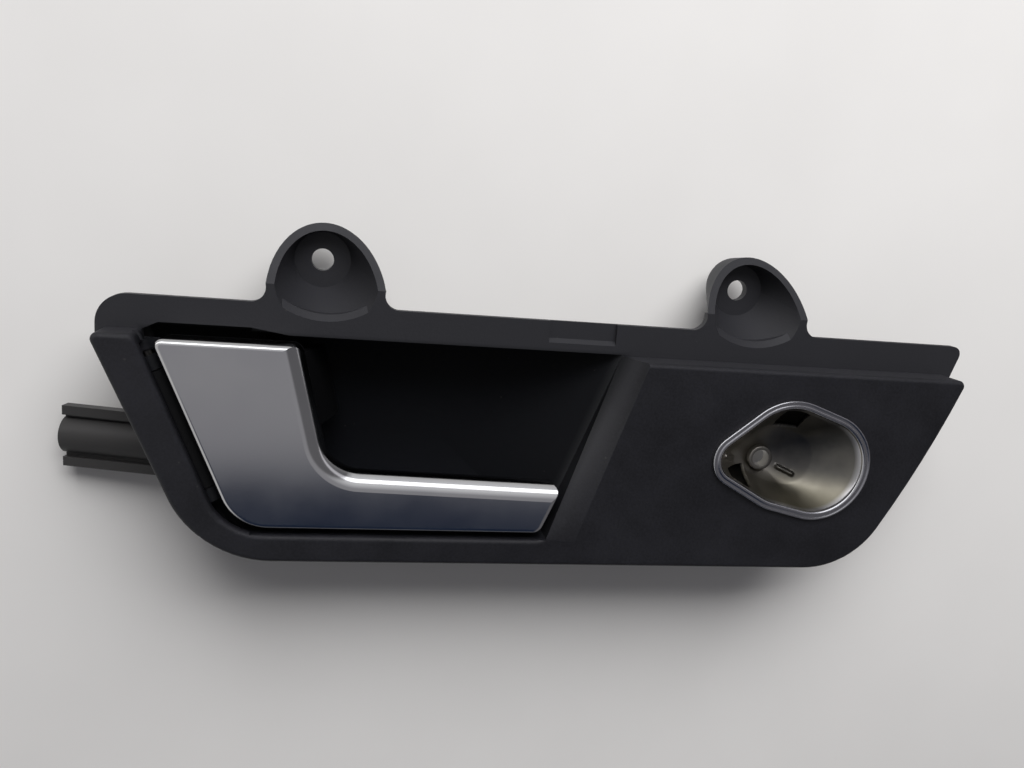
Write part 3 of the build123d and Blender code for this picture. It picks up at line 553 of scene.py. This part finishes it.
def soft_lamp(name, width, height, watts, place):
    """A rectangular lamp at a place, turned to the handle's middle and left out of reflections."""
    lamp = bpy.data.lights.new(name, "AREA")
    lamp.shape = "RECTANGLE"
    lamp.size = width
    lamp.size_y = height
    lamp.energy = watts
    stand = bpy.data.objects.new(name, lamp)
    bpy.context.collection.objects.link(stand)
    stand.visible_glossy = False
    aim = (handle_middle - place).to_track_quat("-Z", "Y").to_matrix().to_4x4()
    stand.matrix_world = Matrix.Translation(place) @ aim


soft_lamp("window", 1.0, 0.65, 14.5, Vector((0.12, -0.6, 0.72)))
soft_lamp("fill", 0.9, 0.6, 9.0, Vector((-0.25, 0.85, 0.12)))

room = bpy.data.worlds.new("room")
bpy.context.scene.world = room
room.use_nodes = True
tree = room.node_tree
tree.nodes.clear()
way = node(tree, "TexCoord").outputs["Generated"]
axes = node(tree, "SeparateXYZ", {0: way})
ray = node(tree, "LightPath")

# What the metal mirrors: floor to ceiling in front, paler walls to the left and behind, and a dimmer right side.
rise = node(tree, "MapRange", {"Value": axes.outputs["Z"], 1: -1.0, 2: 1.0})
ahead = node(tree, "ValToRGB", {"Fac": rise.outputs[0]},
             stops=((0.33, "#222b3d"), (0.35, "#9a999d"), (0.5, "#9f9ea2"), (0.72, "#e4e4e6")))
rear = node(tree, "MapRange", {"Value": axes.outputs["Y"], 1: -0.25, 2: 0.15})
left = node(tree, "MapRange", {"Value": axes.outputs["X"], 1: -0.35, 2: -0.6})
walls = node(tree, "Math", {0: rear.outputs[0], 1: left.outputs[0]}, operation="MAXIMUM")
dim = node(tree, "MapRange", {"Value": axes.outputs["X"], 1: 0.25, 2: 0.42})
front = node(tree, "MixRGB", {"Fac": dim.outputs[0], "Color1": ahead.outputs["Color"],
                              "Color2": linear("#6c6b6e")})
pale = node(tree, "MixRGB", {"Fac": dim.outputs[0], "Color1": linear("#cfcecd"), "Color2": linear("#8c8b8d")})
mirrored = node(tree, "MixRGB", {"Fac": walls.outputs[0], "Color1": front.outputs[0], "Color2": pale.outputs[0]})

# The plain light that falls on everything, and the plain backdrop that the camera sees past the table.
around = node(tree, "MixRGB", {"Fac": ray.outputs["Is Glossy Ray"], "Color1": linear("#6a6a6d"),
                               "Color2": mirrored.outputs[0]})
shown = node(tree, "MixRGB", {"Fac": ray.outputs["Is Camera Ray"], "Color1": around.outputs[0],
                              "Color2": linear("#dcdcde")})

# The strip runs from left to right: the part of a direction along the strip's way, over its length without X.
toward = node(tree, "VectorMath", {0: way, 1: strip_way}, operation="DOT_PRODUCT")
sideways = node(tree, "Math", {0: axes.outputs["X"], 1: axes.outputs["X"]}, operation="MULTIPLY")
upright = node(tree, "Math", {0: never_zero, 1: sideways.outputs[0]}, operation="SUBTRACT")
length = node(tree, "Math", {0: upright.outputs[0]}, operation="SQRT")
level = node(tree, "Math", {0: toward.outputs["Value"], 1: length.outputs[0]}, operation="DIVIDE")
strip = node(tree, "MapRange", {"Value": level.outputs[0], 1: strip_edge[0], 2: strip_edge[1],
                                3: 0.0, 4: strip_strength})
lit = node(tree, "Math", {0: strip.outputs[0], 1: ray.outputs["Is Glossy Ray"]}, operation="MULTIPLY")
strength = node(tree, "Math", {0: lit.outputs[0], 1: 1.0}, operation="ADD")
sky = node(tree, "Background", {"Color": shown.outputs[0], "Strength": strength.outputs[0]})
node(tree, "OutputWorld", {"Surface": sky.outputs[0]})

# Camera: the photograph's place and lens, worked out from the handle's own edges. Its directions to the right and
# up are given, and the third follows from them.

camera_place = (-0.0515, -0.247, 0.0202)
camera_right = Vector((0.9824, -0.1652, 0.0872))
camera_up = Vector((-0.0496, 0.2195, 0.9744))
camera = bpy.data.cameras.new("camera")
camera.sensor_width = 36.0
camera.lens = 29.88
camera.clip_start = 0.01
camera_object = bpy.data.objects.new("camera", camera)
bpy.context.collection.objects.link(camera_object)
camera_turn = Matrix((camera_right, camera_up, camera_right.cross(camera_up))).transposed().to_4x4()
camera_object.matrix_world = Matrix.Translation(camera_place) @ camera_turn
bpy.context.scene.camera = camera_object
bpy.context.scene.view_settings.view_transform = "Standard"
